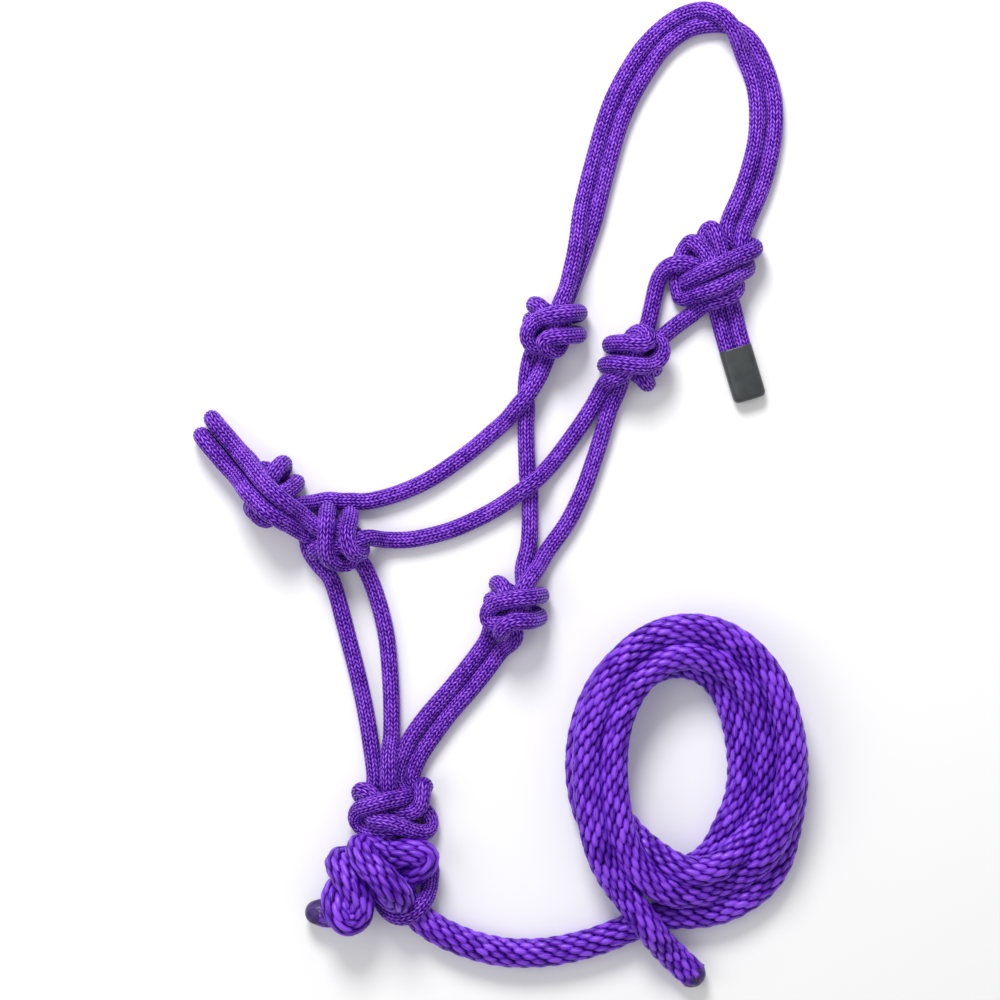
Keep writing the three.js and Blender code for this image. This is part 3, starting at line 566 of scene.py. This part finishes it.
def twill_relief(around, along, braid):
    """How high a twill braid's stitches stand, and the place on each: across, along, which."""
    turns = along / braid["turn"]
    right = braid["strands"] * (around + turns)
    left = braid["strands"] * (around - turns)
    column = np.floor((right + left) / 2)
    over_right = np.mod(column, 2) < 0.5
    strand = np.where(over_right, right, left)
    across = strand - np.floor(strand)
    reach = (right + left) / 2 - column
    ridge = 1 - np.abs(2 * across - 1) ** TWILL_RIDGE
    ends = 1 - np.abs(2 * reach - 1) ** TWILL_ENDS
    which = pick(np.floor(strand), column)
    return ridge * ends, across, reach, which


def solid_relief(around, along, braid):
    """How high a solid braid's stitches stand, and the place on each: across, along, which."""
    columns = braid["columns"]
    width = math.pi * LEAD_DIAMETER / columns
    cosine, sine = math.cos(braid["lean"]), math.sin(braid["lean"])
    best = np.full(np.broadcast_shapes(around.shape, along.shape), -1.0)
    across, reach, which = np.zeros_like(best), np.zeros_like(best), np.zeros_like(best)
    for beside in (-1, 0, 1):
        column = np.floor(around * columns) + beside
        sideways = (around * columns - column - 0.5) * width
        place = along / braid["stitch"] - braid["stagger"] * column
        stitch = np.rint(place)
        lengthways = (place - stitch) * braid["stitch"]
        far = (lengthways * cosine + sideways * sine) / braid["half_length"]
        aside = (sideways * cosine - lengthways * sine) / braid["half_width"]
        height = 1 - far ** 2 - aside ** 2
        higher = height > best
        best = np.where(higher, height, best)
        across = np.where(higher, (aside + 1) / 2, across)
        reach = np.where(higher, (far + 1) / 2, reach)
        which = np.where(higher, pick(np.mod(column, columns), stitch), which)
    plump = LEAST_PLUMP + (1 - LEAST_PLUMP) * which
    lift = np.sqrt(np.maximum(best, 0)) * plump
    return lift, across, reach, which


def tube_part(curve, along, sides, ups, radius, braid):
    """Points, faces and braid places of one stretch of braided tube, closed at both ends."""
    count = braid["sides"]
    around = np.arange(count) / count
    relief = solid_relief if "columns" in braid else twill_relief
    lift, across, reach, which = relief(around[None, :], along[:, None], braid)
    out = radius + braid["relief"] * (lift - COMMON_LIFT)
    angle = 2 * math.pi * around
    wide = np.cos(angle)[None, :, None] * sides[:, None, :]
    high = np.sin(angle)[None, :, None] * ups[:, None, :]
    points = curve[:, None, :] + (wide + high) * out[:, :, None]
    rings = len(curve)
    index = np.arange(rings * count).reshape(rings, count)
    next_index = np.roll(index, -1, axis=1)
    quads = np.stack([index[:-1], next_index[:-1], next_index[1:], index[1:]], axis=-1).reshape(-1, 4)
    middles = np.array([curve[0], curve[-1]])
    low, high = rings * count, rings * count + 1
    start_cap = np.column_stack([next_index[0], index[0], np.full(count, low)])
    end_cap = np.column_stack([index[-1], next_index[-1], np.full(count, high)])
    flat = np.zeros(2)
    return {
        "points": np.vstack([points.reshape(-1, 3), middles]),
        "quads": quads,
        "triangles": np.vstack([start_cap, end_cap]),
        "lift": np.concatenate([lift.ravel(), flat]),
        "stitch": np.column_stack([
            np.concatenate([across.ravel(), flat]),
            np.concatenate([reach.ravel(), flat]),
            np.concatenate([which.ravel(), flat]),
        ]),
    }


def mesh_of(name, parts):
    """One mesh object out of several parts, with the braid's places as attributes."""
    offsets = np.cumsum([0] + [len(part["points"]) for part in parts])
    points = np.vstack([part["points"] for part in parts])
    quads = np.vstack([part["quads"] + offset for part, offset in zip(parts, offsets)])
    triangles = np.vstack([part["triangles"] + offset for part, offset in zip(parts, offsets)])
    mesh = bpy.data.meshes.new(name)
    mesh.vertices.add(len(points))
    mesh.vertices.foreach_set("co", points.astype(np.float32).ravel())
    corners = np.concatenate([quads.ravel(), triangles.ravel()])
    sizes = np.concatenate([np.full(len(quads), 4), np.full(len(triangles), 3)])
    mesh.loops.add(len(corners))
    mesh.loops.foreach_set("vertex_index", corners.astype(np.int32))
    mesh.polygons.add(len(sizes))
    mesh.polygons.foreach_set("loop_start", (np.cumsum(sizes) - sizes).astype(np.int32))
    mesh.polygons.foreach_set("use_smooth", np.ones(len(sizes), bool))
    lifts = np.concatenate([part["lift"] for part in parts])
    lift = mesh.attributes.new("lift", "FLOAT", "POINT")
    lift.data.foreach_set("value", lifts.astype(np.float32))
    stitches = np.vstack([part["stitch"] for part in parts])
    stitch = mesh.attributes.new("stitch", "FLOAT_VECTOR", "POINT")
    stitch.data.foreach_set("vector", stitches.astype(np.float32).ravel())
    mesh.update(calc_edges=True)
    mesh.validate()
    made = bpy.data.objects.new(name, mesh)
    bpy.context.scene.collection.objects.link(made)
    return made


def braided_parts(chain, braid):
    """A settled chain as braided stretches: (piece, part, centreline) for each, in order."""
    curve, reached = curve_through(smoothed(chain["points"], SMOOTHING), braid["step"])
    along = np.concatenate([[0], np.cumsum(np.linalg.norm(np.diff(curve, axis=0), axis=1))])
    sides, ups = frames_along(curve)
    cuts = np.interp(np.array(chain["cuts"]) * (len(reached) - 1), np.arange(len(reached)), reached)
    rows = np.rint(cuts / reached[-1] * (len(curve) - 1)).astype(int)
    made = []
    for name, first, last in zip(chain["names"], rows[:-1], rows[1:]):
        span = slice(first, last + 1)
        part = tube_part(curve[span], along[span], sides[span], ups[span], chain["radius"], braid)
        made.append((name, part, curve[span]))
    return made


# ---- materials ----

def nodes_of(name):
    """A new material with its node tree and its Principled shader."""
    material = bpy.data.materials.new(name)
    material.use_nodes = True
    tree = material.node_tree
    return material, tree, tree.nodes["Principled BSDF"]


def attribute(tree, name):
    """A node that reads one of the braid's attributes from the mesh."""
    node = tree.nodes.new("ShaderNodeAttribute")
    node.attribute_name = name
    return node


def arithmetic(tree, operation, first, second):
    """A Math node of two inputs, each a socket or a number."""
    node = tree.nodes.new("ShaderNodeMath")
    node.operation = operation
    for socket, value in zip(node.inputs, (first, second)):
        if isinstance(value, (int, float)):
            socket.default_value = value
        else:
            tree.links.new(value, socket)
    return node.outputs[0]


def about_zero(tree, value, amount):
    """A value from 0 to 1, turned into one from minus half the amount to plus half of it."""
    return arithmetic(tree, "MULTIPLY", arithmetic(tree, "SUBTRACT", value, 0.5), amount)


def start_plus(tree, start, value, amount):
    """A start, plus an amount times a value."""
    return arithmetic(tree, "ADD", arithmetic(tree, "MULTIPLY", value, amount), start)


def noise(tree, vector, scale, detail=3.0, roughness=0.5):
    """Noise from 0 to 1, with so many patches to a unit of the vector."""
    node = tree.nodes.new("ShaderNodeTexNoise")
    node.inputs["Scale"].default_value = scale
    node.inputs["Detail"].default_value = detail
    node.inputs["Roughness"].default_value = roughness
    tree.links.new(vector, node.inputs["Vector"])
    return node.outputs["Fac"]


def ramp(tree, value, stops):
    """A colour ramp over (position, colour) stops."""
    node = tree.nodes.new("ShaderNodeValToRGB")
    elements = node.color_ramp.elements
    elements[0].position, elements[0].color = stops[0][0], (*stops[0][1], 1)
    elements[1].position, elements[1].color = stops[-1][0], (*stops[-1][1], 1)
    for position, colour in stops[1:-1]:
        elements.new(position).color = (*colour, 1)
    tree.links.new(value, node.inputs["Fac"])
    return node.outputs["Color"]


def add_bump(tree, shader, height, strength, distance):
    """Fine relief in the shader's surface, for what is too small for the mesh."""
    bump = tree.nodes.new("ShaderNodeBump")
    bump.inputs["Strength"].default_value = strength
    bump.inputs["Distance"].default_value = distance
    tree.links.new(height, bump.inputs["Height"])
    tree.links.new(bump.outputs["Normal"], shader.inputs["Normal"])


THREADS = (3.6, 0.9, 31.0)      # across a stitch, along it, and from one stitch to the next
THREAD_NOISE = 1.6
ROPE_ROUGHNESS = 0.22           # between the threads
THREAD_ROUGHNESS = 0.25         # how much more there is on them
CREST_SHINE = 0.80


def fibre_lines(tree, stitch):
    """Fine threads that run along each stitch, different from stitch to stitch."""
    scaled = tree.nodes.new("ShaderNodeVectorMath")
    scaled.operation = "MULTIPLY"
    scaled.inputs[1].default_value = THREADS
    tree.links.new(stitch, scaled.inputs[0])
    return noise(tree, scaled.outputs["Vector"], THREAD_NOISE, detail=2.0)


def braid_material(name, painted_gap_shade, body, painted_crest_highlight):
    """Glossy braided rope: painted shade between the stitches, a painted highlight on their crests,
    and fine threads.
    """
    material, tree, shader = nodes_of(name)
    places = tree.nodes.new("ShaderNodeTexCoord").outputs["Object"]
    lift = attribute(tree, "lift").outputs["Fac"]
    stitch = attribute(tree, "stitch").outputs["Vector"]
    threads = fibre_lines(tree, stitch)
    patches = noise(tree, places, 42.0, detail=2.0)
    parts = tree.nodes.new("ShaderNodeSeparateXYZ")
    tree.links.new(stitch, parts.inputs[0])
    by_thread = about_zero(tree, threads, 1.5)
    by_stitch = about_zero(tree, parts.outputs["Z"], 0.40)
    by_patch = about_zero(tree, patches, 0.35)
    change = arithmetic(tree, "ADD", by_thread, arithmetic(tree, "ADD", by_stitch, by_patch))
    shade = arithmetic(tree, "ADD", lift, change)
    # Painted light: by how high the stitch stands, the colour runs from painted shade in the gaps
    # between stitches, through the rope's own colour, to a painted highlight on the crests.
    colour = ramp(tree, shade, [(0.05, painted_gap_shade), (0.50, body), (1.0, painted_crest_highlight)])
    tree.links.new(colour, shader.inputs["Base Color"])
    rough = start_plus(tree, ROPE_ROUGHNESS, threads, THREAD_ROUGHNESS)
    tree.links.new(rough, shader.inputs["Roughness"])
    shine = arithmetic(tree, "MULTIPLY", arithmetic(tree, "MULTIPLY", lift, lift), CREST_SHINE)
    tree.links.new(shine, shader.inputs["Specular IOR Level"])
    shader.inputs["Specular Tint"].default_value = (0.80, 0.62, 1.0, 1)
    shader.inputs["Sheen Weight"].default_value = 0.10
    shader.inputs["Sheen Roughness"].default_value = 0.35
    shader.inputs["Sheen Tint"].default_value = (0.55, 0.25, 1.0, 1)
    add_bump(tree, shader, threads, 0.8, 0.0004)
    return material


def melted_material():
    """Rope end that was melted shut: dark, hard and glossy, with a crust."""
    material, tree, shader = nodes_of("melted_end")
    places = tree.nodes.new("ShaderNodeTexCoord").outputs["Object"]
    crust = noise(tree, places, 420.0, detail=5.0, roughness=0.6)
    dark, middle, pale = (0.014, 0.001, 0.055), (0.038, 0.005, 0.140), (0.09, 0.025, 0.26)
    colour = ramp(tree, crust, [(0.3, dark), (0.55, middle), (0.8, pale)])
    tree.links.new(colour, shader.inputs["Base Color"])
    tree.links.new(start_plus(tree, 0.15, crust, 0.4), shader.inputs["Roughness"])
    add_bump(tree, shader, crust, 0.6, 0.0006)
    return material


def sleeve_material():
    """Soft dark grey plastic with a fine grain and faint rubbed patches."""
    material, tree, shader = nodes_of("sleeve_plastic")
    places = tree.nodes.new("ShaderNodeTexCoord").outputs["Object"]
    grain = noise(tree, places, 2600.0, detail=3.0)
    rubbed = noise(tree, places, 130.0, detail=4.0)
    colour = ramp(tree, rubbed, [(0.3, (0.030, 0.034, 0.037)), (0.7, (0.046, 0.051, 0.054))])
    tree.links.new(colour, shader.inputs["Base Color"])
    tree.links.new(start_plus(tree, 0.28, rubbed, 0.25), shader.inputs["Roughness"])
    add_bump(tree, shader, grain, 0.25, 0.0001)
    return material


def floor_material():
    """Plain matt white."""
    material, _, shader = nodes_of("pale_floor")
    shader.inputs["Base Color"].default_value = (0.93, 0.93, 0.93, 1)
    shader.inputs["Roughness"].default_value = 0.85
    return material


# ---- ends and sleeve ----

SLEEVE_TOP = (0.1424, 0.0706, 0.0052)
SLEEVE_END = (0.1514, 0.0406, 0.0052)
SLEEVE_WIDTH = 0.0192
SLEEVE_THICKNESS = 0.0104
SLEEVE_WALL = 0.0008
SLEEVE_SIDES = 72
SLEEVE_SQUARE = (0.62, 0.72)    # across it and through it: 1 is an ellipse, and less is squarer
SLEEVE_WAIST = 0.035            # how far it sinks between the two cords, as a share of its height
# Share of the sleeve's length, and how far its skin stands in from the outside there: from inside
# it, round the lip, and on to its far end.
SLEEVE_PROFILE = [
    (0.90, SLEEVE_WALL), (0.40, SLEEVE_WALL), (0.04, SLEEVE_WALL), (0.008, 0.8 * SLEEVE_WALL),
    (0.0, 0.5 * SLEEVE_WALL), (0.008, 0.1 * SLEEVE_WALL), (0.03, 0.0), (0.2, 0.0), (0.4, 0.0),
    (0.6, 0.0), (0.8, 0.0), (0.91, 0.0001), (0.95, 0.0005), (0.98, 0.0012), (0.995, 0.0022),
    (1.0, 0.0034),
]

# The melted ends of the lead: the radius of each where it meets the rope, and how far it reaches.
STUB_CAP = (0.0080, 0.0118)
TIP_CAP = (0.0081, 0.0085)
CAP_SIDES = 64
CAP_RINGS = 22
CAP_OVERLAP = 0.003             # how far a cap starts inside the rope
CAP_AIM = 8                     # points of the centreline that a cap takes its direction from
CAP_BLUNT = 0.85                # 1 is a round end, and less is blunter


def loft(name, rings):
    """A skin over rings of points, closed with a point at both ends."""
    rings = np.asarray(rings)
    count, sides, _ = rings.shape
    index = np.arange(count * sides).reshape(count, sides)
    following = np.roll(index, -1, axis=1)
    quads = np.stack([index[:-1], following[:-1], following[1:], index[1:]], axis=-1).reshape(-1, 4)
    middles = np.array([rings[0].mean(0), rings[-1].mean(0)])
    start = np.column_stack([following[0], index[0], np.full(sides, count * sides)])
    end = np.column_stack([index[-1], following[-1], np.full(sides, count * sides + 1)])
    total = count * sides + 2
    return mesh_of(name, [{
        "points": np.vstack([rings.reshape(-1, 3), middles]),
        "quads": quads,
        "triangles": np.vstack([start, end]),
        "lift": np.zeros(total),
        "stitch": np.zeros((total, 3)),
    }])


def sleeve_ring(centre, across, up, half_width, half_thickness):
    """One section of the sleeve: a rounded oblong, faintly waisted between the two cords."""
    angle = 2 * math.pi * np.arange(SLEEVE_SIDES) / SLEEVE_SIDES
    cosine, sine = np.cos(angle), np.sin(angle)
    x = half_width * np.sign(cosine) * np.abs(cosine) ** SLEEVE_SQUARE[0]
    z = half_thickness * np.sign(sine) * np.abs(sine) ** SLEEVE_SQUARE[1]
    waist = 1 - SLEEVE_WAIST * np.exp(-((x / (0.25 * half_width)) ** 2))
    return centre + np.outer(x, across) + np.outer(z * waist, up)


def sleeve():
    """The flat cap over the ends of the two tails: open where they go in, rounded at its far end."""
    top, end = np.array(SLEEVE_TOP), np.array(SLEEVE_END)
    length = np.linalg.norm(end - top)
    along = (end - top) / length
    up = np.array((0.0, 0.0, 1.0))
    across = np.cross(along, up)
    half_width, half_thickness = SLEEVE_WIDTH / 2, SLEEVE_THICKNESS / 2
    rings = []
    for share, inset in SLEEVE_PROFILE:
        centre = top + along * length * share
        rings.append(sleeve_ring(centre, across, up, half_width - inset, half_thickness - inset))
    return loft("tail_sleeve_cap", rings)


def melted_cap(name, curve, size):
    """A rope end melted shut: a lumpy cap that goes on from the start of a centreline."""
    radius, reach = size
    end = curve[0]
    forward = curve[0] - curve[CAP_AIM]
    forward = forward / np.linalg.norm(forward)
    across = np.cross(forward, (0, 0, 1))
    across = across / np.linalg.norm(across)
    up = np.cross(across, forward)
    angle = 2 * math.pi * np.arange(CAP_SIDES) / CAP_SIDES
    rings = []
    for share in np.linspace(0, 1, CAP_RINGS):
        turn = share * math.pi / 2
        width = radius * max(math.cos(turn) ** CAP_BLUNT, 0.02)
        lumps = 1 + 0.035 * np.sin(5 * angle + 4 * share) + 0.025 * np.sin(9 * angle - 7 * share + 1)
        lumps = 1 + (lumps - 1) * min(1.0, 3 * share + 0.15)
        centre = end + forward * (reach * math.sin(turn) - CAP_OVERLAP)
        wide = np.outer(np.cos(angle) * width * lumps, across)
        high = np.outer(np.sin(angle) * width * lumps, up)
        rings.append(centre + (wide + high))
    return loft(name, rings)


# ---- putting it together ----

HALTER_KNOTS_AND_CORDS = [
    "off_cheek_knot", "near_cheek_knot", "throat_knot", "near_nose_knot", "off_nose_knot",
    "fiador_knot", "off_cheek_cord", "off_throat_cord", "off_chin_cord", "jaw_cord_left",
    "jaw_cord_right", "near_chin_cord", "near_throat_cord", "near_cheek_cord", "fiador_loop",
]

LENS = 90                       # millimetres, as the sensor's width is
SENSOR_WIDTH = 36
CAMERA_PLACE = (0.0066, -0.0173, 1.450)
FLOOR_HALF = 3                  # from its middle to its edge
WORLD_LIGHT = 0.56
# Each lamp: its place, the diameter of its disk, and its power in watts.
KEY_LIGHT = ((-0.25, 1.05, 1.05), 0.60, 20)
FILL_LIGHT = ((-0.9, -0.2, 1.0), 0.9, 3)

# Painted shade between a rope's stitches, the rope's own colour on them, and a painted highlight on
# their crests.
LEAD_COLOURS = {
    "painted_gap_shade": (0.008, 0.0002, 0.050),
    "body": (0.082, 0.003, 0.390),
    "painted_crest_highlight": (0.25, 0.062, 0.80),
}
# The same for the halter's cord: painted shade in the gaps, its own colour, and a painted highlight
# on the crests.
CORD_COLOURS = {
    "painted_gap_shade": (0.018, 0.0005, 0.105),
    "body": (0.092, 0.003, 0.400),
    "painted_crest_highlight": (0.36, 0.120, 0.86),
}


def add_camera():
    """A camera that looks straight down."""
    data = bpy.data.cameras.new("camera")
    data.lens = LENS
    data.sensor_width = SENSOR_WIDTH
    camera = bpy.data.objects.new("camera", data)
    bpy.context.scene.collection.objects.link(camera)
    camera.location = CAMERA_PLACE
    bpy.context.scene.camera = camera


def add_floor():
    """A plain pale floor, under everything."""
    mesh = bpy.data.meshes.new("floor")
    half = FLOOR_HALF
    corners = [(-half, -half, 0), (half, -half, 0), (half, half, 0), (-half, half, 0)]
    mesh.from_pydata(corners, [], [(0, 1, 2, 3)])
    floor = bpy.data.objects.new("floor", mesh)
    bpy.context.scene.collection.objects.link(floor)
    floor.data.materials.append(floor_material())


def add_light(name, place, size, power):
    """A round lamp that points at the middle of the floor."""
    data = bpy.data.lights.new(name, "AREA")
    data.shape = "DISK"
    data.size = size
    data.energy = power
    light = bpy.data.objects.new(name, data)
    bpy.context.scene.collection.objects.link(light)
    light.location = place
    aim = -light.location
    light.rotation_euler = aim.to_track_quat("-Z", "Y").to_euler()


def light_scene():
    """Soft studio light: a white surround, a lamp behind the crown and a weak one at the nose."""
    scene = bpy.context.scene
    scene.view_settings.view_transform = "Standard"
    world = bpy.data.worlds.new("studio")
    scene.world = world
    world.use_nodes = True
    background = world.node_tree.nodes["Background"]
    background.inputs["Color"].default_value = (1, 1, 1, 1)
    background.inputs["Strength"].default_value = WORLD_LIGHT
    add_light("key", *KEY_LIGHT)
    add_light("fill", *FILL_LIGHT)


def finish_piece(piece, node_names, material):
    """Gives a piece its material, and hides the CAD nodes it stands for."""
    piece.data.materials.append(material)
    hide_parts(*node_names)
    return piece


def make_halter(chains, material):
    """Every piece of the halter cord in its place, with the halter's knots and cords and the crown's
    tie knot on their bodies.
    """
    parts = {}
    for chain in chains:
        for name, part, _ in braided_parts(chain, CORD_BRAID):
            parts.setdefault(name, []).append(part)
    for name, found in parts.items():
        piece = mesh_of(name + "_braid", found)
        replaced = [name]
        if name.startswith("noseband_cord"):
            replaced.append(name.replace("cord", "root"))
        finish_piece(piece, replaced, material)
        if name in HALTER_KNOTS_AND_CORDS:
            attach(piece, "halter")
        elif name == "crown_tie_knot":
            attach(piece, "crown")
        elif name.startswith("crown_tail"):
            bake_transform(piece)
        elif name.startswith("noseband"):
            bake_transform(piece)
        else:
            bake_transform(piece)


def make_lead(chain, material, melted):
    """The lead rope: its knot, its free length, and its two melted ends."""
    (_, knot_part, knot_curve), (_, rope_part, rope_curve) = braided_parts(chain, LEAD_BRAID)
    knot = mesh_of("lead_knot_braid", [knot_part])
    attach(finish_piece(knot, ["lead_knot"], material), "halter")
    stub = melted_cap("lead_stub_end_cap", knot_curve, STUB_CAP)
    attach(finish_piece(stub, ["lead_stub_end"], melted), "halter")
    tip = melted_cap("lead_tip_cap", rope_curve[::-1], TIP_CAP)
    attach(finish_piece(tip, ["lead_tip"], melted), "lead")
    rope = mesh_of("lead_rope_braid", [rope_part])
    finish_piece(rope, ["lead_run", "lead_coil", "lead_tail"], material)
    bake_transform(rope)


def main():
    add_camera()
    chains = [chain_of(strand, CORD_DIAMETER / 2, CORD_SPACING) for strand in halter_strands()]
    lead = chain_of(lead_strand(), LEAD_DIAMETER / 2, LEAD_SPACING)
    knot_end = int(lead["cuts"][1] * len(lead["points"]))
    lead["hold"][knot_end:] = FREE_HOLD
    settle(chains + [lead])
    lead["points"][knot_end:] = smoothed(lead["points"][knot_end:], LEAD_SMOOTHING)
    lead_material = braid_material("lead_rope", **LEAD_COLOURS)
    cord_material = braid_material("halter_cord", **CORD_COLOURS)
    make_lead(lead, lead_material, melted_material())
    make_halter(chains, cord_material)
    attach(finish_piece(sleeve(), ["tail_sleeve"], sleeve_material()), "tails")
    add_floor()
    light_scene()


main()
